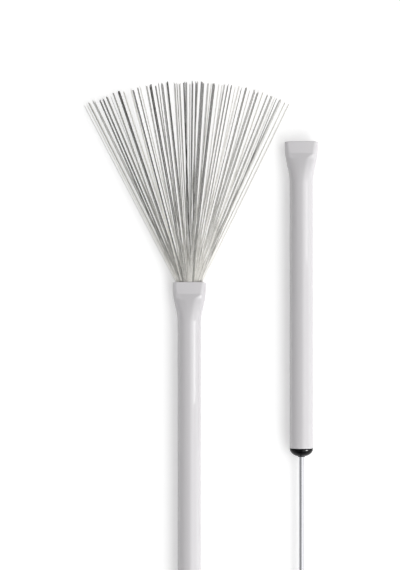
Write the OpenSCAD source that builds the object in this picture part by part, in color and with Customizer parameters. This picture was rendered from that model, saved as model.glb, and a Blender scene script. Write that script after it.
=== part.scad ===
// A pair of retractable wire drum brushes lying side by side, one fanned open and one drawn closed.
// X runs across the pair, Y along the handles towards the wires, and Z up from the surface they lie on.
// Each brush is modelled about its own tube axis with its mouth at y = 0, and then laid in place.

/* [Handle] */
// Outer diameter of the straight tube
tube_d = 15.2; // [12.6:0.1:18.4]
// Wall of the tube and of its flattened mouth
tube_wall = 1.4; // [1:0.1:1.8]
// Width of the flattened mouth
mouth_w = 21.4; // [17.8:0.1:25.8]
// Radius of the mouth's four long edges
mouth_edge_r = 2.7; // [2:0.1:3.2]
// Depth of the curve in the mouth's front edge
mouth_arch = 1; // [0.4:0.1:1.6]
// Length over which the tube turns from round to flat
flare_len = 27; // [22:0.5:32.5]
// Length of the flat panels at the mouth
panel_len = 8.3; // [6:0.1:10]
// Length of the mouth's parallel sides
side_len = 5.5; // [4:0.1:7]

/* [Wires] */
// Diameter of one wire
wire_d = 0.31; // [0.25:0.01:0.38]
// Length of a middle wire, from the ferrule to its tip
wire_len = 141; // [118:1:169]
// How much longer the outermost wires are
outer_extra = 1.5; // [0:0.5:6]
// How far the tips are uneven, each way
tip_rag = 1.1; // [0:0.1:1.5]
// Angle between the two outermost groups of the open fan
fan_angle = 53; // [43:1:60]

/* [Pull rod] */
// Diameter of the rod
rod_d = 3.18; // [2.64:0.02:3.82]
// How much narrower than the tube the pull loop is, on each side
loop_inset = 0.6; // [0.3:0.05:1.2]
// Length of rod left between the end cap and the loop
neck_len = 4; // [2:0.5:8]
// Width of the gap where the loop's end comes back to the rod
loop_gap = 0.8; // [0.4:0.1:1.4]

/* [Slider] */
// Length of the guide bushing
bushing_len = 16; // [13:0.5:20]
// Wall of the ferrule around the wires
ferrule_wall = 0.6; // [0.4:0.05:0.8]
// Length of the soldered plug of wire roots
root_len = 9; // [7:0.5:11]
// Diameter of the cross pin through ferrule and rod
pin_d = 1.6; // [1.2:0.1:2]
// Wall of the bushing under a friction ring's groove
groove_wall = 0.8; // [0.6:0.05:1]

/* [End cap] */
// Length of the plug inside the tube
spigot_len = 20; // [12:0.1:22]
// Height of the dome behind the tube
dome_len = 5.4; // [4:0.1:7]

/* [Fits] */
// Radial gap around the sliding bushing
slide_gap = 0.15; // [0.1:0.01:0.25]
// Radial gap between a friction ring and the tube
ring_gap = 0.05; // [0.03:0.01:0.08]
// Radial gap of the rod in the end cap
rod_gap = 0.1; // [0.05:0.01:0.2]
// Radial gap of each seated piece
seat_gap = 0.02; // [0.01:0.01:0.04]
// Gap left where the slider reaches a stop
stop_gap = 0.4; // [0.3:0.05:0.8]
// Gap between stacked layers of wires
layer_gap = 0.02; // [0.015:0.005:0.04]
// Gap between the outermost wires and the mouth
mouth_gap = 0.3; // [0.2:0.05:0.5]
// Gap around the gathered wires in the tube
gather_gap = 1.5; // [1:0.1:1.8]
// How far inside the mouth the longest gathered tip stops
tip_inset = 3.4; // [1.2:0.1:4]

/* [Pair] */
// Distance between the two tube axes
pair_gap = 71.7; // [60:0.1:90]
// How far the closed brush lies ahead of the open one
pair_lead = 89.9; // [75:0.1:110]

/* [Hidden] */
$fn = 72;
BRUSHES = ["open", "closed"];
PARTS = ["handle_tube", "end_cap", "pull_rod", "ferrule", "wire_root_plug", "cross_pin",
         "guide_bushing", "friction_rings"];
// Where each group of wires lies in the open fan, as a share of its half angle, from left to right
GROUP_PLACE = [-1, -0.85, -0.7, -0.54, -0.38, -0.25, -0.1, 0.02, 0.13, 0.26, 0.4, 0.54, 0.68, 0.82, 0.95];
WIRES_EACH = 11;

tube_r = tube_d / 2;
bore_r = tube_r - tube_wall;
rod_r = rod_d / 2;
overshoot = 1;

// The wires: groups are stacked in layers, so that they pass each other as the fan closes
groups = len(GROUP_PLACE);
middle_group = (groups - 1) / 2;
middle_wire = (WIRES_EACH - 1) / 2;
wire_pitch = wire_d + 2 * layer_gap;
layer_pitch = wire_d + layer_gap;
stack_h = groups * layer_pitch;
root_half = middle_wire * wire_pitch + wire_d / 2;
gather_half = sqrt(pow(bore_r - gather_gap, 2) - pow(stack_h / 2, 2)) - wire_d / 2;
wire_splay = atan((gather_half - middle_wire * wire_pitch) / wire_len) / middle_wire;
splay_rag = wire_splay / 3;
rag = rands(-1, 1, 2 * groups * WIRES_EACH, 11);
longest = wire_len + outer_extra + tip_rag;

// The mouth is just high enough for the stack, and the ferrule stops where the widest wires clear its sides
mouth_h = stack_h + 2 * (tube_wall + mouth_gap / 2);
widest = fan_angle / 2 + wire_splay * middle_wire;
pivot_depth = (mouth_w / 2 - tube_wall - mouth_gap - root_half) / tan(widest);
root_gap = root_half * sin(fan_angle / 2) + seat_gap;
travel = longest + tip_inset - pivot_depth;

// Stations along the tube axis, as distances behind the mouth, with the slider pushed right out
ferrule_front = pivot_depth + root_gap;
bushing_front = flare_len + stop_gap;
bushing_rear = bushing_front + bushing_len;
handle_len = bushing_rear + travel + stop_gap + spigot_len;
rod_front = ferrule_front + root_len;
loop_r = tube_r - loop_inset - rod_r;
loop_depth = handle_len + dome_len + stop_gap + neck_len + rod_r + loop_r;
brush_len = loop_depth + loop_r + rod_r;
root_r = sqrt(pow(stack_h / 2, 2) + pow(root_half, 2)) + seat_gap;
ferrule_in_r = root_r + seat_gap;
ferrule_r = ferrule_in_r + ferrule_wall;
groove_r = ferrule_r + seat_gap + groove_wall;
ring_d = bore_r - ring_gap - groove_r - seat_gap;
ring_r = bore_r - ring_gap - ring_d / 2;
groove_w = ring_d + 2 * seat_gap;
groove_inset = bushing_len / 4;
pin_depth = bushing_rear - bushing_len / 2;
// The pin's flat ends stay just inside the ferrule's round side
pin_len = 2 * sqrt(pow(ferrule_r, 2) - pow(pin_d / 2, 2));
// The flare ends a hair inside the round tube, which leaves a clean ledge where they join
flare_r = tube_r - 0.05;
// The loop's end stops beside the rod, at this angle from it
loop_end = asin((rod_r + loop_gap) / loop_r);

// The pair is centred over the origin
tips = [for (k = [0 : groups - 1], i = [0 : WIRES_EACH - 1]) tip_place(k, i)];
open_x = (-min([for (t = tips) t.x]) - pair_gap - mouth_w / 2) / 2;
open_y = (brush_len + travel - pair_lead - max([for (t = tips) t.y])) / 2;

function mix(a, b, u) = a + (b - a) * u;
function part_way(u) = min(1, max(0, u));
function ease(u) = u * u * (3 - 2 * u);
function turned(p, a) = [p.x * cos(a) + p.y * sin(a), p.y * cos(a) - p.x * sin(a)];

function group_name(b, k) = str(b, "_wire_group_", k < 9 ? "0" : "", k + 1);
function group_turn(k) = GROUP_PLACE[k] * fan_angle / 2;
// The outer groups take the middle layers, where the mouth is widest, and sides swap at each step
function group_rank(k) = middle_group - abs(k - middle_group);
function group_layer(k) = k == middle_group || (k < middle_group) == (group_rank(k) % 2 == 0)
    ? -group_rank(k) : group_rank(k) + 1;
function wire_rag(k, i, n) = rag[2 * (k * WIRES_EACH + i) + n];
function wire_root(i) = (i - middle_wire) * wire_pitch;
function wire_turn(k, i) = (i - middle_wire) * wire_splay + splay_rag * wire_rag(k, i, 0);
function wire_reach(k, i) = wire_len + outer_extra * pow(GROUP_PLACE[k], 2) + tip_rag * wire_rag(k, i, 1);
function tip_place(k, i) = turned(
    [wire_root(i) + wire_reach(k, i) * sin(wire_turn(k, i)), wire_reach(k, i) * cos(wire_turn(k, i))],
    group_turn(k)) - [0, pivot_depth];

// The handle's cross-section at a distance s behind the mouth: half width, half height and corner radii
function half_w(s) = mix(mouth_w / 2, flare_r, ease(part_way((s - side_len) / (flare_len - side_len))));
function half_h(s) = mix(mouth_h / 2, flare_r, sin(90 * part_way((s - panel_len) / (flare_len - panel_len))));
function corner_w(s) = mix(mouth_edge_r, flare_r, part_way(s / flare_len));
function corner_h(s) = min(half_h(s), corner_w(s));
function quadrant(s, inset, qx, qz, a) = [
    qx * (half_w(s) - corner_w(s)) + (corner_w(s) - inset) * cos(a), -s,
    qz * (half_h(s) - corner_h(s)) + (corner_h(s) - inset) * sin(a)];
function ring_points(s, inset, steps) = [for (q = [0 : 3], j = [0 : steps - 1])
    quadrant(s, inset, q == 0 || q == 3 ? 1 : -1, q < 2 ? 1 : -1, 90 * q + 90 * (j + 0.5) / steps)];
function dome_r(u) = mix(rod_r + rod_gap, tube_r, pow(1 - pow(u, 1.5), 1 / 1.5));

module lay(closed) {
    translate([open_x + closed * pair_gap, open_y + closed * pair_lead, tube_r]) children();
}

// Moves the sliding pieces back by the travel in the closed brush
module slid(closed) {
    translate([0, -closed * travel, 0]) children();
}

// A round bar along the tube axis, from one distance behind the mouth to another
module bar(from, to, r) {
    translate([0, -from, 0]) rotate([90, 0, 0]) cylinder(h = to - from, r = r);
}

module pipe(from, to, r, hole_r) {
    difference() {
        bar(from, to, r);
        bar(from - overshoot, to + overshoot, hole_r);
    }
}

// The loft through the handle's cross-sections, set in from the outside by inset
module flare_loft(inset) {
    steps = 8;
    count = 4 * steps;
    stations = [-overshoot, panel_len / 2, for (j = [0 : 8]) mix(panel_len, flare_len, j / 8)];
    last = len(stations) - 1;
    polyhedron(
        points = [for (s = stations) each ring_points(s, inset, steps)],
        faces = [
            [for (j = [0 : count - 1]) j],
            for (n = [0 : last - 1], j = [0 : count - 1]) let (next = (j + 1) % count)
                [n * count + j, (n + 1) * count + j, (n + 1) * count + next, n * count + next],
            [for (j = [count - 1 : -1 : 0]) last * count + j]],
        convexity = 4);
}

// What lies in front of the mouth's arched edge
module mouth_trim() {
    arch_r = (pow(mouth_w / 2, 2) + pow(mouth_arch, 2)) / (2 * mouth_arch);
    difference() {
        translate([-mouth_w, -2 * mouth_arch, -tube_d])
            cube([2 * mouth_w, 2 * (mouth_arch + overshoot), 2 * tube_d]);
        translate([0, -arch_r, -2 * tube_d])
            cylinder(h = 4 * tube_d, r = arch_r, $fn = 180);
    }
}

module handle_tube() {
    color("white") difference() {
        union() {
            flare_loft(0);
            bar(flare_len, handle_len, tube_r);
        }
        flare_loft(tube_wall);
        bar(flare_len, handle_len + overshoot, bore_r);
        mouth_trim();
    }
}

module end_cap() {
    steps = 12;
    color("#18181a") translate([0, -handle_len, 0]) rotate([90, 0, 0]) difference() {
        rotate_extrude() polygon([
            [0, -spigot_len], [bore_r - seat_gap - 0.5, -spigot_len], [bore_r - seat_gap, 0.5 - spigot_len],
            [bore_r - seat_gap, 0],
            for (j = [0 : steps - 1]) [dome_r(j / steps), dome_len * j / steps],
            [rod_r + rod_gap + 0.3, dome_len], [0, dome_len]]);
        translate([0, 0, -spigot_len - overshoot])
            cylinder(h = spigot_len + dome_len + 2 * overshoot, r = rod_r + rod_gap);
    }
}

// The rod's end is bent round into an eye, centred on the rod, whose tip stops just short of it
module pull_rod() {
    color("#c8c8cc") union() {
        difference() {
            bar(rod_front, loop_depth - loop_r, rod_r);
            cross_hole();
        }
        translate([0, -loop_depth, 0]) difference() {
            rotate_extrude() translate([loop_r, 0]) circle(d = rod_d, $fn = 32);
            rotate([0, 0, loop_end]) translate([-loop_gap / 2, 0, -rod_d])
                cube([loop_gap, 2 * loop_r, 2 * rod_d]);
        }
    }
}

module cross_hole() {
    translate([0, -pin_depth, 0]) cylinder(h = tube_d, r = pin_d / 2 + seat_gap, center = true, $fn = 32);
}

// A sleeve that is wide around the wires' roots and narrow around the rod
module ferrule() {
    color("#c9a24b") difference() {
        bar(ferrule_front, bushing_rear, ferrule_r);
        bar(ferrule_front - overshoot, rod_front, ferrule_in_r);
        bar(ferrule_front, bushing_rear + overshoot, rod_r + seat_gap);
        cross_hole();
    }
}

module wire_root_plug() {
    color("#8f9094") bar(ferrule_front, rod_front - seat_gap, root_r);
}

module cross_pin() {
    color("#a8a8ac") translate([0, -pin_depth, 0])
        cylinder(h = pin_len, d = pin_d, center = true, $fn = 32);
}

module guide_bushing() {
    color("#e4e2da") difference() {
        pipe(bushing_front, bushing_rear, bore_r - slide_gap, ferrule_r + seat_gap);
        for (s = [bushing_front + groove_inset, bushing_rear - groove_inset])
            pipe(s - groove_w / 2, s + groove_w / 2, bore_r, groove_r);
    }
}

module friction_rings() {
    color("#26262a") for (s = [bushing_front + groove_inset, bushing_rear - groove_inset])
        translate([0, -s, 0]) rotate([90, 0, 0]) rotate_extrude()
            translate([ring_r, 0]) circle(d = ring_d, $fn = 32);
}

// The group's wires start side by side at the ferrule and splay a little, and the group turns as one
module wire_group(k, closed) {
    color("#b4b4b2") translate([0, -pivot_depth, group_layer(k) * layer_pitch])
        rotate([0, 0, -group_turn(k) * (1 - closed)])
            for (i = [0 : WIRES_EACH - 1])
                translate([wire_root(i), 0, 0]) rotate([-90, 0, -wire_turn(k, i)])
                    cylinder(h = wire_reach(k, i), d = wire_d, $fn = 16);
}

for (b = [0, 1]) {
    lay(b) handle_tube();
    lay(b) end_cap();
    lay(b) slid(b) pull_rod();
    lay(b) slid(b) ferrule();
    lay(b) slid(b) wire_root_plug();
    lay(b) slid(b) cross_pin();
    lay(b) slid(b) guide_bushing();
    lay(b) slid(b) friction_rings();
    for (k = [0 : groups - 1])
        lay(b) slid(b) wire_group(k, b);
}
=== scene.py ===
import bmesh
import bpy
import math
import numpy as np
from functools import partial
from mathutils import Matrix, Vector


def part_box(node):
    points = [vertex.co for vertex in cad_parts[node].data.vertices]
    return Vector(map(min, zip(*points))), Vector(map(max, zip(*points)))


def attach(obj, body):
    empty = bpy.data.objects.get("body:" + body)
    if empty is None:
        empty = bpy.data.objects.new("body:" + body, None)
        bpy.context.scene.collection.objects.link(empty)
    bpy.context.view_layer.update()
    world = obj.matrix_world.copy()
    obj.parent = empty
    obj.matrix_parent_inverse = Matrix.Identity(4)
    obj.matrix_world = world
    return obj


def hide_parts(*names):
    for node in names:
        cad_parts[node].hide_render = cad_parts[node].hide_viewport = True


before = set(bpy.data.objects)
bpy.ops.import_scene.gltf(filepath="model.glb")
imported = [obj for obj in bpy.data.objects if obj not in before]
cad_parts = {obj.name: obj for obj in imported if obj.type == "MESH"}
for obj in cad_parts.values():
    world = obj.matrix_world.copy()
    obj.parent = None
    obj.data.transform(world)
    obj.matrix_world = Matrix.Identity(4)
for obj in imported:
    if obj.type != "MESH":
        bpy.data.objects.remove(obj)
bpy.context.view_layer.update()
scene = bpy.context.scene
scene.view_settings.view_transform = "Standard"
brushes = ["open", "closed"]

# where each brush lies: the middle of its tube, the front of its mouth and the back of its tube
place = {}
for brush in brushes:
    low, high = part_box(f"{brush}_handle_tube")
    place[brush] = {"x": (low.x + high.x) / 2, "mouth": high.y, "back": low.y, "z": (low.z + high.z) / 2}


# gives a node its inputs, by name or number: another node's output is linked, a plain value is set
def feed(tree, node, feeds):
    for key, value in feeds.items():
        if isinstance(value, bpy.types.NodeSocket):
            tree.links.new(value, node.inputs[key])
        else:
            node.inputs[key].default_value = value


def addNode(tree, kind, feeds=None, **settings):
    node = tree.nodes.new(kind)
    for name, value in settings.items():
        setattr(node, name, value)
    feed(tree, node, feeds or {})
    return node


def calc(tree, operation, *parts):
    return addNode(tree, "ShaderNodeMath", dict(enumerate(parts)), operation=operation).outputs[0]


def remap(tree, value, low, high, start, end, way="LINEAR"):
    feeds = {"Value": value, "From Min": low, "From Max": high, "To Min": start, "To Max": end}
    return addNode(tree, "ShaderNodeMapRange", feeds, interpolation_type=way).outputs["Result"]


def scaled(tree, vector, level):
    feeds = {0: vector, "Scale": level}
    return addNode(tree, "ShaderNodeVectorMath", feeds, operation="SCALE").outputs[0]


def noise(tree, vector, size, **feeds):
    return addNode(tree, "ShaderNodeTexNoise", {"Vector": vector, "Scale": size, **feeds}).outputs[0]


def newTree(name, kind, takes, gives):
    tree = bpy.data.node_groups.new(name, kind)
    for direction, sockets in (("INPUT", takes), ("OUTPUT", gives)):
        for label, sort in sockets:
            tree.interface.new_socket(label, in_out=direction, socket_type="NodeSocket" + sort)
    return tree, tree.nodes.new("NodeGroupInput").outputs, tree.nodes.new("NodeGroupOutput")


# the last nodes of a piece's tree: smooth faces, real geometry and the piece's finish
def endTree(tree, geometry, finish, out):
    smooth = addNode(tree, "GeometryNodeSetShadeSmooth", {0: geometry})
    real = addNode(tree, "GeometryNodeRealizeInstances", {0: smooth.outputs[0]})
    feeds = {"Geometry": real.outputs[0], "Material": finish}
    painted = addNode(tree, "GeometryNodeSetMaterial", feeds)
    tree.links.new(painted.outputs[0], out.inputs[0])


# puts a tree on a mesh, turns the result into a plain mesh and takes the modifier off again
def growPiece(name, base, tree, values):
    piece = bpy.data.objects.new(name, base)
    scene.collection.objects.link(piece)
    grower = piece.modifiers.new("grow", "NODES")
    grower.node_group = tree
    for item in tree.interface.items_tree:
        if item.in_out == "INPUT" and item.name in values:
            grower[item.identifier] = values[item.name]
    grown = piece.evaluated_get(bpy.context.evaluated_depsgraph_get())
    mesh = bpy.data.meshes.new_from_object(grown)
    piece.modifiers.remove(grower)
    while len(mesh.materials) and mesh.materials[0] is None:
        mesh.materials.pop(index=0)
    piece.data = mesh
    mesh.name = name
    return piece


def meshPiece(name, work, material):
    mesh = bpy.data.meshes.new(name)
    bmesh.ops.recalc_face_normals(work, faces=work.faces)
    work.to_mesh(mesh)
    work.free()
    mesh.shade_smooth()
    mesh.materials.append(material)
    piece = bpy.data.objects.new(name, mesh)
    scene.collection.objects.link(piece)
    return piece


mergeReach = 0.000001  # points of a new piece that are nearer than this become one
cadMergeReach = 0.0000001  # the same for a copy of a CAD node
cornerIn = 0.3  # the middle of a rounded edge stands this share of its radius in from both faces

# how the shared effects look, whichever material they are in
effectLook = {"driftDetail": 3.0, "smudgeDetail": 4.0, "smudgeRoughness": 0.6, "smudgeWarp": 0.4,
              "smudgeFrom": 0.42, "smudgeTo": 0.72, "grainDetail": 2.0, "swellSize": 90.0, "swellDetail": 1.0,
              "lineDetail": 5.0, "lineRoughness": 0.65}


# slow drift of a colour, lighter and darker
def makeTintDrift():
    takes = [("Vector", "Vector"), ("Colour", "Color"), ("Size", "Float"), ("Amount", "Float")]
    tree, given, out = newTree("tintDrift", "ShaderNodeTree", takes, [("Colour", "Color")])
    cloud = noise(tree, given["Vector"], given["Size"], Detail=effectLook["driftDetail"])
    shift = calc(tree, "MULTIPLY_ADD", cloud, 2.0, -1.0)  # from 0 and 1 to -1 and 1
    level = calc(tree, "MULTIPLY_ADD", shift, given["Amount"], 1.0)
    tree.links.new(scaled(tree, given["Colour"], level), out.inputs["Colour"])
    return tree


# where hands and cloth have left a surface a little duller or brighter
def makeSmudges():
    takes = [("Vector", "Vector"), ("Size", "Float"), ("Clean", "Float"), ("Dull", "Float")]
    tree, given, out = newTree("smudges", "ShaderNodeTree", takes, [("Roughness", "Float")])
    broad = noise(tree, given["Vector"], given["Size"], Detail=effectLook["smudgeDetail"],
                  Roughness=effectLook["smudgeRoughness"], Distortion=effectLook["smudgeWarp"])
    mask = remap(tree, broad, effectLook["smudgeFrom"], effectLook["smudgeTo"], 0.0, 1.0, "SMOOTHSTEP")
    span = calc(tree, "SUBTRACT", given["Dull"], given["Clean"])
    tree.links.new(calc(tree, "MULTIPLY_ADD", mask, span, given["Clean"]), out.inputs["Roughness"])
    return tree


# the fine skin of a moulding: small bumps over a faint, slower swell
def makeMouldGrain():
    takes = [("Vector", "Vector"), ("Size", "Float"), ("Swell", "Float")]
    tree, given, out = newTree("mouldGrain", "ShaderNodeTree", takes, [("Height", "Float")])
    fine = noise(tree, given["Vector"], given["Size"], Detail=effectLook["grainDetail"])
    slow = noise(tree, given["Vector"], effectLook["swellSize"], Detail=effectLook["swellDetail"])
    tree.links.new(calc(tree, "MULTIPLY_ADD", slow, given["Swell"], fine), out.inputs["Height"])
    return tree


# lines that drawing or turning leaves on metal, stretched along y
def makeDrawnLines():
    takes = [("Vector", "Vector"), ("Across", "Float"), ("Along", "Float")]
    tree, given, out = newTree("drawnLines", "ShaderNodeTree", takes, [("Lines", "Float")])
    feeds = {0: given["Across"], 1: given["Along"], 2: given["Across"]}
    steps = addNode(tree, "ShaderNodeCombineXYZ", feeds)
    feeds = {0: given["Vector"], 1: steps.outputs[0]}
    stretched = addNode(tree, "ShaderNodeVectorMath", feeds, operation="MULTIPLY")
    lines = noise(tree, stretched.outputs[0], 1.0, Detail=effectLook["lineDetail"],
                  Roughness=effectLook["lineRoughness"])
    tree.links.new(lines, out.inputs["Lines"])
    return tree


effects = {"drift": makeTintDrift(), "smudges": makeSmudges(), "grain": makeMouldGrain(),
           "lines": makeDrawnLines()}


def placeEffect(tree, name, feeds):
    return addNode(tree, "ShaderNodeGroup", feeds, node_tree=effects[name]).outputs[0]


def newFinish(name, fixed):
    material = bpy.data.materials.new(name)
    material.use_nodes = True
    tree = material.node_tree
    shader = tree.nodes["Principled BSDF"]
    feed(tree, shader, fixed)
    return material, tree, shader


def objectSpot(tree):
    return tree.nodes.new("ShaderNodeTexCoord").outputs["Object"]


def driftColour(tree, spot, look):
    feeds = {"Vector": spot, "Colour": look["colour"], "Size": look["driftSize"], "Amount": look["drift"]}
    return placeEffect(tree, "drift", feeds)


def addBump(tree, shader, height, distance):
    bump = addNode(tree, "ShaderNodeBump", {"Height": height, "Distance": distance, "Strength": 1.0})
    tree.links.new(bump.outputs[0], shader.inputs["Normal"])


# a moulded plastic: tint, smudges and a fine grain
def plasticFinish(name, look):
    material, tree, shader = newFinish(name, look["fixed"])
    spot = objectSpot(tree)
    rough = placeEffect(tree, "smudges", {"Vector": spot, "Size": look["smudgeSize"], "Clean": look["clean"],
                                          "Dull": look["dull"]})
    height = placeEffect(tree, "grain", {"Vector": spot, "Size": look["grainSize"], "Swell": look["swell"]})
    tree.links.new(driftColour(tree, spot, look), shader.inputs["Base Color"])
    tree.links.new(rough, shader.inputs["Roughness"])
    addBump(tree, shader, height, look["grainDepth"])
    return material


lineSpan = (0.3, 0.7)  # nearly all of the lines' noise lies between these


# the lines on a metal, in its colour, its gloss and its surface
def lineMetal(tree, shader, spot, colour, look):
    feeds = {"Vector": spot, "Across": look["across"], "Along": look["along"]}
    lines = placeEffect(tree, "lines", feeds)
    level = remap(tree, lines, *lineSpan, 1.0 - look["contrast"], 1.0 + look["contrast"])
    rough = remap(tree, lines, *lineSpan, look["clean"], look["dull"])
    tree.links.new(scaled(tree, colour, level), shader.inputs["Base Color"])
    tree.links.new(rough, shader.inputs["Roughness"])
    addBump(tree, shader, lines, look["lineDepth"])


# a drawn or turned metal
def metalFinish(name, look):
    material, tree, shader = newFinish(name, {"Metallic": 1.0})
    spot = objectSpot(tree)
    lineMetal(tree, shader, spot, driftColour(tree, spot, look), look)
    return material


# the wires' steel with a painted reflection: each wire's colour stands in for the light it mirrors, which
# differs because each lies a little differently to the light
def wireFinish(name, look):
    material, tree, shader = newFinish(name, {"Metallic": 1.0})
    # the painted reflection worked out in the wire tree: 0 gives the dark steel colour, 1 the pale one
    tone = addNode(tree, "ShaderNodeAttribute", attribute_name="paintedSheen").outputs["Fac"]
    feeds = {0: tone, 6: look["dark"], 7: look["bright"]}  # 6 and 7 are the two colours of a colour mix
    mixed = addNode(tree, "ShaderNodeMix", feeds, data_type="RGBA")
    lineMetal(tree, shader, objectSpot(tree), mixed.outputs[2], look)
    return material


handleLook = {"colour": (0.713, 0.698, 0.714, 1.0), "driftSize": 22.0, "drift": 0.012,
              "smudgeSize": 60.0, "clean": 0.04, "dull": 0.09,
              "grainSize": 2600.0, "swell": 0.8, "grainDepth": 0.0000016, "fixed": {"IOR": 1.5}}
capLook = {"colour": (0.0022, 0.0022, 0.0028, 1.0), "driftSize": 150.0, "drift": 0.2,
           "smudgeSize": 220.0, "clean": 0.07, "dull": 0.16,
           "grainSize": 3000.0, "swell": 0.5, "grainDepth": 0.000004,
           "fixed": {"IOR": 1.45, "Specular IOR Level": 0.14}}
nylonLook = {"colour": (0.78, 0.76, 0.69, 1.0), "driftSize": 120.0, "drift": 0.04,
             "smudgeSize": 160.0, "clean": 0.42, "dull": 0.55,
             "grainSize": 1800.0, "swell": 0.8, "grainDepth": 0.00001, "fixed": {"IOR": 1.53}}
rubberLook = {"colour": (0.02, 0.02, 0.021, 1.0), "driftSize": 200.0, "drift": 0.15,
              "smudgeSize": 300.0, "clean": 0.55, "dull": 0.75,
              "grainSize": 2200.0, "swell": 0.6, "grainDepth": 0.000015, "fixed": {"IOR": 1.5}}
rodLook = {"colour": (0.562, 0.57, 0.594, 1.0), "driftSize": 60.0, "drift": 0.02,
           "across": 5200.0, "along": 60.0, "contrast": 0.05, "clean": 0.1, "dull": 0.2,
           "lineDepth": 0.0000015}
brassLook = {"colour": (0.78, 0.6, 0.3, 1.0), "driftSize": 90.0, "drift": 0.05,
             "across": 900.0, "along": 2400.0, "contrast": 0.1, "clean": 0.22, "dull": 0.38,
             "lineDepth": 0.000004}
solderLook = {"colour": (0.45, 0.45, 0.46, 1.0), "driftSize": 400.0, "drift": 0.15,
              "across": 1400.0, "along": 1400.0, "contrast": 0.12, "clean": 0.35, "dull": 0.55,
              "lineDepth": 0.00003}
pinLook = {"colour": (0.58, 0.58, 0.6, 1.0), "driftSize": 90.0, "drift": 0.03,
           "across": 2600.0, "along": 2600.0, "contrast": 0.06, "clean": 0.18, "dull": 0.3,
           "lineDepth": 0.000003}
# dark and bright are the two ends of the wires' painted reflection, not two kinds of steel
wireLook = {"dark": (0.041, 0.04, 0.036, 1.0), "bright": (0.942, 0.93, 0.887, 1.0),
            "across": 9000.0, "along": 120.0, "contrast": 0.1, "clean": 0.24, "dull": 0.4,
            "lineDepth": 0.000001}

finishes = {
    "handle_white": plasticFinish("handleWhite", handleLook),
    "cap_black": plasticFinish("capBlack", capLook),
    "bushing_nylon": plasticFinish("bushingNylon", nylonLook),
    "ring_rubber": plasticFinish("ringRubber", rubberLook),
    "rod_steel": metalFinish("rodSteel", rodLook),
    "ferrule_brass": metalFinish("ferruleBrass", brassLook),
    "root_solder": metalFinish("rootSolder", solderLook),
    "pin_steel": metalFinish("pinSteel", pinLook),
    "wire_steel": wireFinish("wireSteelPaintedSheen", wireLook),
}
print("finishes made:", len(finishes))

# the handle's sizes, in metres: the flat panel at the mouth ends at panelLength, and over roundRun behind it
# the section's corners grow until they take roundShare of its width
handle = {"tubeRadius": 0.0076, "wall": 0.0014, "mouthWidth": 0.0214, "mouthHeight": 0.00805,
          "edgeRadius": 0.0027, "flareLength": 0.027, "panelLength": 0.0083, "sideLength": 0.0055,
          "roundRun": 0.004, "roundShare": 0.8, "mouthArch": 0.001, "rimRound": 0.00045, "rimPower": 0.6,
          "around": 96, "tubeSteps": 24, "flareSteps": 64, "rimSteps": 10}
handleCounts = ("around", "tubeSteps", "flareSteps", "rimSteps")


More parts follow.
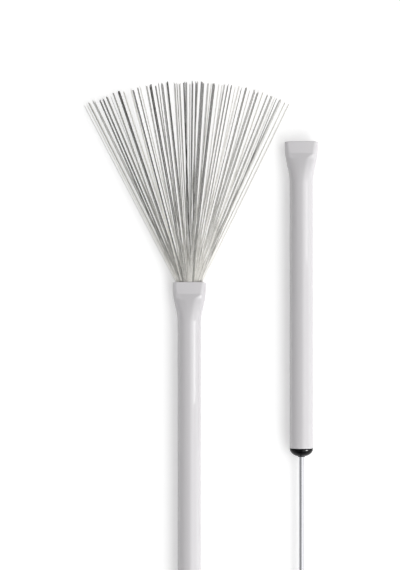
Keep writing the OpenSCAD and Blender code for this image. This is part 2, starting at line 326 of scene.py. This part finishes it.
# a closed skin: rows run up the outside, over the rounded rim, down the inside and over the rear edge
def makeHandleTree():
    takes = [(name, "Float") for name in handle if name not in handleCounts]
    takes += [(name, "Int") for name in handleCounts]
    takes += [("length", "Float"), ("x", "Float"), ("mouth", "Float"), ("z", "Float"), ("finish", "Material")]
    tree, size, out = newTree("handleSkin", "GeometryNodeTree", takes, [("Mesh", "Geometry")])
    do, fit = partial(calc, tree), partial(remap, tree)  # sums and spans in this tree
    flare, tube, rim = size["flareSteps"], size["tubeSteps"], size["rimSteps"]
    rows = do("MULTIPLY", do("ADD", do("ADD", flare, tube), rim), 2.0)
    feeds = {"Size X": 1.0, "Size Y": 1.0, "Vertices X": do("ADD", rows, 1.0),
             "Vertices Y": do("ADD", size["around"], 1.0)}
    grid = addNode(tree, "GeometryNodeMeshGrid", feeds)
    here = tree.nodes.new("GeometryNodeInputPosition").outputs[0]
    at = addNode(tree, "ShaderNodeSeparateXYZ", {0: here})
    row = do("MULTIPLY", do("ADD", at.outputs[0], 0.5), rows)
    column = do("MULTIPLY", do("ADD", at.outputs[1], 0.5), size["around"])

    # each stretch of rows runs from 0 to 1 in its turn
    starts, total = [], 0.0
    for count in (tube, flare, rim, flare, tube, rim):
        after = do("ADD", total, count)
        starts.append(fit(row, total, after, 0.0, 1.0))
        total = after
    outTube, outFlare, rimTurn, inFlare, inTube, rearTurn = starts

    # how far over a rounded edge the row is: across the wall, and out beyond it
    def edgeTurn(share):
        angle = do("MULTIPLY", share, math.pi)
        cosine = do("COSINE", angle)
        flat = do("POWER", do("ABSOLUTE", cosine), size["rimPower"])
        across = do("MULTIPLY_ADD", do("MULTIPLY", do("SIGN", cosine), flat), -0.5, 0.5)
        beyond = do("POWER", do("ABSOLUTE", do("SINE", angle)), size["rimPower"])
        return across, beyond

    # station is the row's distance from the mouth, and inset is how far in from the outside it lies
    frontAcross, frontBeyond = edgeTurn(rimTurn)
    rearAcross, rearBeyond = edgeTurn(rearTurn)
    rimRound = size["rimRound"]
    straight = do("SUBTRACT", do("SUBTRACT", size["length"], size["flareLength"]), rimRound)
    flareRun = do("SUBTRACT", size["flareLength"], rimRound)
    station = do("MULTIPLY", straight, do("ADD", do("SUBTRACT", 1.0, outTube), inTube))
    station = do("MULTIPLY_ADD", flareRun, do("ADD", do("SUBTRACT", 1.0, outFlare), inFlare), station)
    ends = do("SUBTRACT", do("ADD", rearBeyond, 1.0), frontBeyond)
    station = do("MULTIPLY_ADD", rimRound, ends, station)
    inset = do("MULTIPLY", size["wall"], do("SUBTRACT", frontAcross, rearAcross))

    # the section at that station: a box with elliptical corners that turns into a circle
    radius, panel = size["tubeRadius"], size["panelLength"]
    halfMouthWidth = do("MULTIPLY", size["mouthWidth"], 0.5)
    halfMouthHeight = do("MULTIPLY", size["mouthHeight"], 0.5)
    halfWidth = fit(station, size["sideLength"], size["flareLength"], halfMouthWidth, radius, "SMOOTHSTEP")
    rise = do("SINE", fit(station, panel, size["flareLength"], 0.0, math.pi / 2))
    halfHeight = do("MULTIPLY_ADD", do("SUBTRACT", radius, halfMouthHeight), rise, halfMouthHeight)
    panelCorner = fit(station, 0.0, size["flareLength"], size["edgeRadius"], radius)
    fullCorner = do("MULTIPLY", halfWidth, fit(station, panel, size["flareLength"], size["roundShare"], 1.0))
    rounding = fit(station, panel, do("ADD", panel, size["roundRun"]), 0.0, 1.0, "SMOOTHSTEP")
    cornerWidth = do("MULTIPLY_ADD", do("SUBTRACT", fullCorner, panelCorner), rounding, panelCorner)
    cornerHeight = do("MINIMUM", halfHeight, cornerWidth)
    angle = do("MULTIPLY", do("ADD", column, 0.5), do("DIVIDE", 2 * math.pi, size["around"]))

    def sidePlace(wave, half, corner):
        flatPart = do("MULTIPLY", do("SIGN", wave), do("SUBTRACT", half, corner))
        return do("MULTIPLY_ADD", do("SUBTRACT", corner, inset), wave, flatPart)

    # the mouth's front edge is arched: its sides stand back
    x = sidePlace(do("COSINE", angle), halfWidth, cornerWidth)
    z = sidePlace(do("SINE", angle), halfHeight, cornerHeight)
    bend = do("POWER", do("DIVIDE", x, halfMouthWidth), 2.0)
    fade = fit(station, 0.0, size["sideLength"], 1.0, 0.0)
    drop = do("MULTIPLY", do("MULTIPLY", size["mouthArch"], bend), fade)
    y = do("SUBTRACT", size["mouth"], do("ADD", station, drop))
    feeds = {0: do("ADD", x, size["x"]), 1: y, 2: do("ADD", z, size["z"])}
    spot = addNode(tree, "ShaderNodeCombineXYZ", feeds)
    feeds = {"Geometry": grid.outputs["Mesh"], "Position": spot.outputs[0]}
    skin = addNode(tree, "GeometryNodeSetPosition", feeds)
    feeds = {"Geometry": skin.outputs[0], "Distance": mergeReach}
    closed = addNode(tree, "GeometryNodeMergeByDistance", feeds)
    endTree(tree, closed.outputs[0], size["finish"], out)
    return tree


handleTree = makeHandleTree()
for brush in brushes:
    spot = place[brush]
    values = {**handle, "length": spot["mouth"] - spot["back"], "x": spot["x"], "mouth": spot["mouth"],
              "z": spot["z"], "finish": finishes["handle_white"]}
    piece = growPiece(f"{brush}_handle", bpy.data.meshes.new("bare"), handleTree, values)
    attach(piece, f"{brush}_handle")
    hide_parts(f"{brush}_handle_tube")
print("handles made")

# pitch is from wire to wire at the tips of a tight and a loose bunch, stray is how far a bunch may stand off
# its place, the root range is how dark and how pale a bunch's painted reflection may be at its roots, and
# rootReach is how soon that fades; shading is how many groups, from the left, cast a shadow: wires this fine
# leave a floor nearly white
wires = {"radius": 0.000155, "pitch": (0.00032, 0.00042), "stray": 0.0006, "bow": 0.00008, "steps": 9,
         "sides": 8, "rootPaintedSheen": (0.48, 1.6), "rootReach": 3.4, "sheenSpread": 0.16, "shading": 4}
wireSizes = {"radius": "Float", "bow": "Float", "steps": "Int", "sides": "Int", "sheenSpread": "Float",
             "rootReach": "Float"}
bowDraw, sheenDraw = 100.0, 200.0  # these set the two random draws of one wire apart

# each group's wires lie in bunches that touch at their tips, given from left to right as how many wires a
# bunch has and its painted reflection there: dark, middling or pale
sheenLevels = {"d": 0.08, "m": 0.4, "p": 0.82}
bunches = ["1m 2p 2m 2p 4m", "3d 3d 4m 1m", "3m 5d 3p", "3p 3d 3m 2p", "3m 5d 3m",
           "2m 4d 1p 4d", "3m 2m 3m 3d", "3d 2m 3d 3d", "2m 6d 3m", "2p 5d 2p 2p",
           "3m 3m 3m 2p", "3p 2m 4m 2p", "4m 4m 3p", "3m 4m 2p 2m", "3m 2p 3p 3p"]


# the points of each separate lump of a mesh
def lumps(work):
    left = set(work.verts)
    while left:
        lump, edge = set(), [next(iter(left))]
        while edge:
            vert = edge.pop()
            if vert in lump:
                continue
            lump.add(vert)
            edge += [e.other_vert(vert) for e in vert.link_edges]
        left -= lump
        yield np.array([v.co for v in lump])


# the root and the tip of each wire of a CAD group, from left to right
def wireEnds(node):
    work = bmesh.new()
    work.from_mesh(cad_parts[node].data)
    bmesh.ops.remove_doubles(work, verts=work.verts, dist=cadMergeReach)
    ends = []
    for spots in lumps(work):
        middle = (spots[:, 1].min() + spots[:, 1].max()) / 2
        ends.append((spots[spots[:, 1] < middle].mean(0), spots[spots[:, 1] > middle].mean(0)))
    work.free()
    ends.sort(key=lambda pair: pair[0][0])
    return np.array([pair[0] for pair in ends]), np.array([pair[1] for pair in ends])


# one straight edge for each wire of a group, drawn together into its bunch at the tip
def wireLines(node, groupBunches, seed):
    roll = np.random.default_rng(seed)
    roots, tips = wireEnds(node)
    way = tips.mean(0) - roots.mean(0)
    side = np.array([way[1], -way[0], 0.0]) / np.linalg.norm(way[:2])
    places = (tips - tips.mean(0)) @ side
    tipPaintedSheens, rootPaintedSheens, done = [], [], 0
    for bunch in groupBunches.split():
        count = int(bunch[:-1])
        centre = places[done:done + count].mean() + roll.uniform(-wires["stray"], wires["stray"])
        pitch, rootPaintedSheen = roll.uniform(*wires["pitch"]), roll.uniform(*wires["rootPaintedSheen"])
        for k in range(done, done + count):
            tips[k] += side * (centre + (k - done - (count - 1) / 2) * pitch - places[k])
        # both ends of each wire carry its bunch's painted reflection at the tip and its painted light at the
        # root
        tipPaintedSheens += [sheenLevels[bunch[-1]]] * 2 * count
        rootPaintedSheens += [rootPaintedSheen] * 2 * count
        done += count
    mesh = bpy.data.meshes.new(node + "_lines")
    mesh.from_pydata([tuple(end) for ends in zip(roots, tips) for end in ends],
                     [(2 * n, 2 * n + 1) for n in range(len(roots))], [])
    mesh.attributes.new("tipPaintedSheen", "FLOAT", "POINT").data.foreach_set("value", tipPaintedSheens)
    mesh.attributes.new("rootPaintedSheen", "FLOAT", "POINT").data.foreach_set("value", rootPaintedSheens)
    return mesh


# lines become wires that bow a little within their own layer; each wire's painted reflection is a little
# lighter or darker than its bunch's
def makeWireTree():
    takes = [("Lines", "Geometry"), *wireSizes.items(), ("seed", "Int"), ("finish", "Material")]
    tree, size, out = newTree("wireGroup", "GeometryNodeTree", takes, [("Mesh", "Geometry")])
    do = partial(calc, tree)
    curves = addNode(tree, "GeometryNodeMeshToCurve", {"Mesh": size["Lines"]})
    feeds = {"Curve": curves.outputs[0], "Count": size["steps"]}
    fine = addNode(tree, "GeometryNodeResampleCurve", feeds)
    index = tree.nodes.new("GeometryNodeInputIndex").outputs[0]
    wireNumber = addNode(tree, "GeometryNodeFieldOnDomain", {0: index}, domain="CURVE", data_type="INT")

    def chance(low, high, draw):
        feeds = {2: low, 3: high, "ID": wireNumber.outputs[0], "Seed": do("ADD", size["seed"], draw)}
        return addNode(tree, "FunctionNodeRandomValue", feeds, data_type="FLOAT").outputs[1]

    along = tree.nodes.new("GeometryNodeSplineParameter").outputs["Factor"]
    hump = do("SINE", do("MULTIPLY", along, math.pi))
    reach = do("MULTIPLY", do("MULTIPLY", size["bow"], chance(-1.0, 1.0, bowDraw)), hump)
    tangent = tree.nodes.new("GeometryNodeInputTangent").outputs[0]
    feeds = {0: tangent, 1: (0.0, 0.0, 1.0)}
    across = addNode(tree, "ShaderNodeVectorMath", feeds, operation="CROSS_PRODUCT")
    feeds = {"Geometry": fine.outputs[0], "Offset": scaled(tree, across.outputs[0], reach)}
    moved = addNode(tree, "GeometryNodeSetPosition", feeds)

    def stored(name):
        return addNode(tree, "GeometryNodeInputNamedAttribute", {"Name": name}, data_type="FLOAT").outputs[0]

    # painted light and reflection: a bunch's root level, mostly paler, fades into its tip level, and each
    # wire strays a little from it
    tip, root = stored("tipPaintedSheen"), stored("rootPaintedSheen")
    share = do("POWER", do("SUBTRACT", 1.0, along), size["rootReach"])
    own = do("MULTIPLY_ADD", do("SUBTRACT", root, tip), share, tip)
    tone = do("MULTIPLY_ADD", chance(-0.5, 0.5, sheenDraw), size["sheenSpread"], own)
    limited = addNode(tree, "ShaderNodeClamp", {0: tone})
    feeds = {"Geometry": moved.outputs[0], "Name": "paintedSheen", "Value": limited.outputs[0]}
    toned = addNode(tree, "GeometryNodeStoreNamedAttribute", feeds, domain="POINT", data_type="FLOAT")
    feeds = {"Resolution": size["sides"], "Radius": size["radius"]}
    ring = addNode(tree, "GeometryNodeCurvePrimitiveCircle", feeds)
    feeds = {"Curve": toned.outputs[0], "Profile Curve": ring.outputs[0], "Fill Caps": True}
    tubes = addNode(tree, "GeometryNodeCurveToMesh", feeds)
    endTree(tree, tubes.outputs[0], size["finish"], out)
    return tree


wireTree = makeWireTree()
for brush in brushes:
    for n, groupBunches in enumerate(bunches, 1):
        values = {**{name: wires[name] for name in wireSizes}, "seed": n, "finish": finishes["wire_steel"]}
        node = f"{brush}_wire_group_{n:02d}"
        piece = growPiece(f"{brush}_wires_{n:02d}", wireLines(node, groupBunches, n), wireTree, values)
        piece.visible_shadow = n <= wires["shading"]
        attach(piece, f"{brush}_wires_{n:02d}")
        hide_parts(node)
print("wires made")

# the end cap's sizes: a plug inside the tube, and behind it a dome with a small collar round the rod
cap = {"radius": handle["tubeRadius"], "boreRadius": 0.00169, "spigotRadius": 0.00618, "spigotLength": 0.02,
       "spigotChamfer": 0.0005, "domeLength": 0.0054, "domePower": 1.8, "domeSteps": 20, "stepPower": 1.3,
       "collarRadius": 0.0023, "collarLength": 0.0005, "collarRound": 0.0001, "lipRound": 0.00012,
       "around": 96}


# the cap's outline, as points of radius and distance behind the tube's end
def capOutline():
    rim, bore, length = cap["lipRound"], cap["boreRadius"], cap["domeLength"]
    spigot, front, chamfer = cap["spigotRadius"], -cap["spigotLength"], cap["spigotChamfer"]
    collar, edge = cap["collarRadius"], cap["collarRound"]
    domeEnd = length - cap["collarLength"]
    points = [(bore, front), (spigot - chamfer, front), (spigot, front + chamfer), (spigot, 0.0),
              (cap["radius"] - rim, 0.0), (cap["radius"] - cornerIn * rim, cornerIn * rim)]
    for n in range(1, cap["domeSteps"]):
        share = (n / cap["domeSteps"]) ** cap["stepPower"]
        curve = (1 - share ** cap["domePower"]) ** (1 / cap["domePower"])
        points.append((collar + (cap["radius"] - collar) * curve, domeEnd * share))
    points += [(collar, domeEnd + edge), (collar - edge, length - edge), (collar - 2 * edge, length),
               (bore + edge, length), (bore, length - edge)]
    return points


# turns an outline round the tube's axis
def turnOutline(outline, spot, around):
    work = bmesh.new()
    rings = []
    for radius, back in outline:
        rings.append([work.verts.new((spot["x"] + radius * math.cos(2 * math.pi * n / around),
                                      spot["back"] - back,
                                      spot["z"] + radius * math.sin(2 * math.pi * n / around)))
                      for n in range(around)])
    for n, ring in enumerate(rings):
        nextRing = rings[(n + 1) % len(rings)]
        for k in range(around):
            work.faces.new((ring[k], ring[(k + 1) % around], nextRing[(k + 1) % around], nextRing[k]))
    return work


for brush in brushes:
    work = turnOutline(capOutline(), place[brush], cap["around"])
    piece = meshPiece(f"{brush}_cap", work, finishes["cap_black"])
    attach(piece, f"{brush}_handle")
    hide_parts(f"{brush}_end_cap")
print("end caps made")

# the pull rod's sizes: its end bends aside, then round into an eye whose tip stops endGap short of the rod
rod = {"radius": 0.00159, "eyeRadius": 0.00541, "bendRadius": 0.003, "endGap": 0.0008, "endRound": 0.0003,
       "sides": 32, "stepLength": 0.004, "eyeSteps": 90, "bendSteps": 16}


# the rod's centre line, from inside the ferrule to the tip of the eye
def rodPath(front, back, x):
    eye, bend = rod["eyeRadius"], rod["bendRadius"]
    centreY = back + eye + rod["radius"]
    turnY = centreY + math.sqrt((eye + bend) ** 2 - bend ** 2)
    meet = math.atan2(bend, turnY - centreY)
    stop = math.asin((2 * rod["radius"] + rod["endGap"]) / eye)
    straight = int((front - turnY) / rod["stepLength"])
    points = [(x, front + (turnY - front) * n / straight) for n in range(straight)]
    for n in range(rod["bendSteps"] + 1):
        angle = math.pi + (math.pi / 2 - meet) * n / rod["bendSteps"]
        points.append((x + bend + bend * math.cos(angle), turnY + bend * math.sin(angle)))
    turn = 2 * math.pi - stop - meet
    for n in range(1, rod["eyeSteps"] + 1):
        angle = math.pi / 2 - meet - turn * n / rod["eyeSteps"]
        points.append((x + eye * math.cos(angle), centreY + eye * math.sin(angle)))
    return points


# a round bar along a flat path, with softly rounded ends
def sweepBar(path, z):
    spots = [Vector((px, py, z)) for px, py in path]
    last = len(spots) - 1
    ways = [(spots[min(n + 1, last)] - spots[max(n - 1, 0)]).normalized() for n in range(last + 1)]
    edge, full = rod["endRound"], rod["radius"]
    ends = [(0.0, full - edge), (cornerIn * edge, full - cornerIn * edge), (edge, full)]
    rings = [(spots[0] + ways[0] * run, ways[0], radius) for run, radius in ends]
    rings += [(spots[n], ways[n], full) for n in range(1, last)]
    rings += [(spots[-1] - ways[-1] * run, ways[-1], radius) for run, radius in reversed(ends)]
    turns = [2 * math.pi * k / rod["sides"] for k in range(rod["sides"])]
    up = Vector((0, 0, 1))
    work = bmesh.new()
    made = []
    for spot, way, radius in rings:
        side = way.cross(up).normalized()
        made.append([work.verts.new(spot + radius * (side * math.cos(turn) + up * math.sin(turn)))
                     for turn in turns])
    for one, two in zip(made, made[1:]):
        for k in range(rod["sides"]):
            nextK = (k + 1) % rod["sides"]
            work.faces.new((one[k], one[nextK], two[nextK], two[k]))
    work.faces.new(made[0])
    work.faces.new(made[-1])
    return work


for brush in brushes:
    low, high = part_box(f"{brush}_pull_rod")
    spot = place[brush]
    work = sweepBar(rodPath(high.y, low.y, spot["x"]), spot["z"])
    piece = meshPiece(f"{brush}_rod", work, finishes["rod_steel"])
    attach(piece, f"{brush}_slider")
    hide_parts(f"{brush}_pull_rod")
print("pull rods made")

# the pieces inside the tube keep their CAD shape
inner = {"ferrule": "ferrule_brass", "wire_root_plug": "root_solder", "cross_pin": "pin_steel",
         "guide_bushing": "bushing_nylon", "friction_rings": "ring_rubber"}
for brush in brushes:
    for node, finish in inner.items():
        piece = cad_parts[f"{brush}_{node}"]
        piece.data.materials.clear()
        piece.data.materials.append(finishes[finish])
print("inner pieces finished")

# each band is a long soft light parallel to y: its angle from straight up, towards +x, how far it reaches to
# either side and its level; forwardLoss dims the room towards +y, and backCut takes the part towards -y away
studio = {"floorColour": (0.95, 0.95, 0.95, 1.0), "floorRoughness": 0.9, "floorGlow": 0.33,
          "floorSize": 6.0, "level": 1.16, "room": 0.135,
          "forwardLoss": 1.0, "backCut": 0.85, "backFrom": -0.95, "backTo": -0.65,
          "bands": {"key": (31.5, 35.0, 1.88), "rim": (90.0, 45.0, 1.6), "fill": (-32.0, 26.0, 0.45),
                    "low": (-90.0, 50.0, 0.35)}}

# near lamps that only one piece's gloss shows: a long strip over each handle and one over each cap; angle is
# from straight up towards +x, lean is towards -y and spread is half the lamp's width as the piece sees it
glints = {"handle": {"radiance": {"open": 4.3, "closed": 2.8}, "angle": 51.0, "spread": 11.0,
                     "distance": 0.15, "behindMouth": 0.0515, "long": 0.057, "lean": 0.0},
          "cap": {"radiance": {"open": 80.0, "closed": 80.0}, "angle": 57.0, "spread": 9.0,
                  "distance": 0.15, "behindMouth": 0.1979, "long": 0.05, "lean": 29.0}}

# height is the camera's above the tubes' middle, frameLong is how much of that level the frame's long side
# takes in, and right and behindMouth are the camera's place from the middle of the open brush's mouth
view = {"height": 2.0, "frameLong": 0.3648, "right": 0.00682, "behindMouth": 0.0026, "farthest": 20.0}
cameraY = place["open"]["mouth"] - view["behindMouth"]


def makeFloor():
    half = studio["floorSize"] / 2
    mesh = bpy.data.meshes.new("floor")
    corners = [(-half, -half, 0), (half, -half, 0), (half, half, 0), (-half, half, 0)]
    mesh.from_pydata(corners, [], [(0, 1, 2, 3)])
    floor = bpy.data.objects.new("floor", mesh)
    scene.collection.objects.link(floor)
    fixed = {"Roughness": studio["floorRoughness"], "Base Color": studio["floorColour"]}
    material, tree, shader = newFinish("floorWhite", fixed)
    path = tree.nodes.new("ShaderNodeLightPath").outputs
    mirrored = calc(tree, "MAXIMUM", path["Is Glossy Ray"], path["Is Transmission Ray"])
    seen = calc(tree, "MAXIMUM", path["Is Camera Ray"], mirrored)
    strength = calc(tree, "MULTIPLY", seen, studio["floorGlow"])
    glow = addNode(tree, "ShaderNodeEmission", {"Strength": strength})
    both = addNode(tree, "ShaderNodeAddShader", {0: shader.outputs[0], 1: glow.outputs[0]})
    tree.links.new(both.outputs[0], tree.nodes["Material Output"].inputs["Surface"])
    mesh.materials.append(material)


# a room whose light comes in soft bands
def makeWorld():
    world = bpy.data.worlds.new("room")
    world.use_nodes = True
    scene.world = world
    tree = world.node_tree
    do, fit = partial(calc, tree), partial(remap, tree)
    direction = tree.nodes.new("ShaderNodeTexCoord").outputs["Generated"]
    way = addNode(tree, "ShaderNodeSeparateXYZ", {0: direction}).outputs
    angle = do("ARCTAN2", way[0], way[2])
    level = studio["room"]
    for centre, reach, strength in studio["bands"].values():
        off = do("ABSOLUTE", do("SUBTRACT", angle, math.radians(centre)))
        level = do("ADD", level, fit(off, 0.0, math.radians(reach), strength, 0.0, "SMOOTHSTEP"))
    forward = do("MULTIPLY_ADD", way[1], -studio["forwardLoss"], 1.0)
    behind = fit(way[1], studio["backFrom"], studio["backTo"], 1.0 - studio["backCut"], 1.0, "SMOOTHSTEP")
    level = do("MULTIPLY", do("MULTIPLY", level, forward), behind)
    strength = do("MULTIPLY", level, studio["level"])
    feed(tree, tree.nodes["Background"], {"Strength": strength, "Color": (1.0, 1.0, 1.0, 1.0)})


# along y, a lamp with no lean stands where the camera sees it mirrored in the middle of its stretch
def makeGlint(brush, part):
    spot, glint = place[brush], glints[part]
    name = f"{brush}_{part}_glint"
    reach = glint["distance"]
    angle = math.radians(glint["angle"])
    lean = reach * math.tan(math.radians(glint["lean"]))
    middle = spot["mouth"] - glint["behindMouth"]
    lamp = bpy.data.lights.new(name, "AREA")
    lamp.shape = "RECTANGLE"
    lamp.size = 2 * reach * math.tan(math.radians(glint["spread"]))
    lamp.size_y = glint["long"]
    lamp.energy = glint["radiance"][brush] * math.pi * lamp.size * lamp.size_y
    light = bpy.data.objects.new(name, lamp)
    scene.collection.objects.link(light)
    light.location = (spot["x"] + reach * math.sin(angle),
                      middle + (middle - cameraY) * reach / view["height"] - lean,
                      spot["z"] + reach * math.cos(angle))
    light.rotation_euler = (0.0, angle, 0.0)
    light.visible_diffuse = False
    light.visible_camera = False
    lit = bpy.data.collections.new(name)
    lit.objects.link(bpy.data.objects[f"{brush}_{part}"])
    light.light_linking.receiver_collection = lit


def makeCamera():
    lens = bpy.data.cameras.new("camera")
    camera = bpy.data.objects.new("camera", lens)
    scene.collection.objects.link(camera)
    camera.location = (place["open"]["x"] + view["right"], cameraY, place["open"]["z"] + view["height"])
    lens.lens = lens.sensor_width * view["height"] / view["frameLong"]
    lens.clip_end = view["farthest"]
    scene.camera = camera


makeFloor()
makeWorld()
for brush in brushes:
    for part in glints:
        makeGlint(brush, part)
makeCamera()
print("studio made")
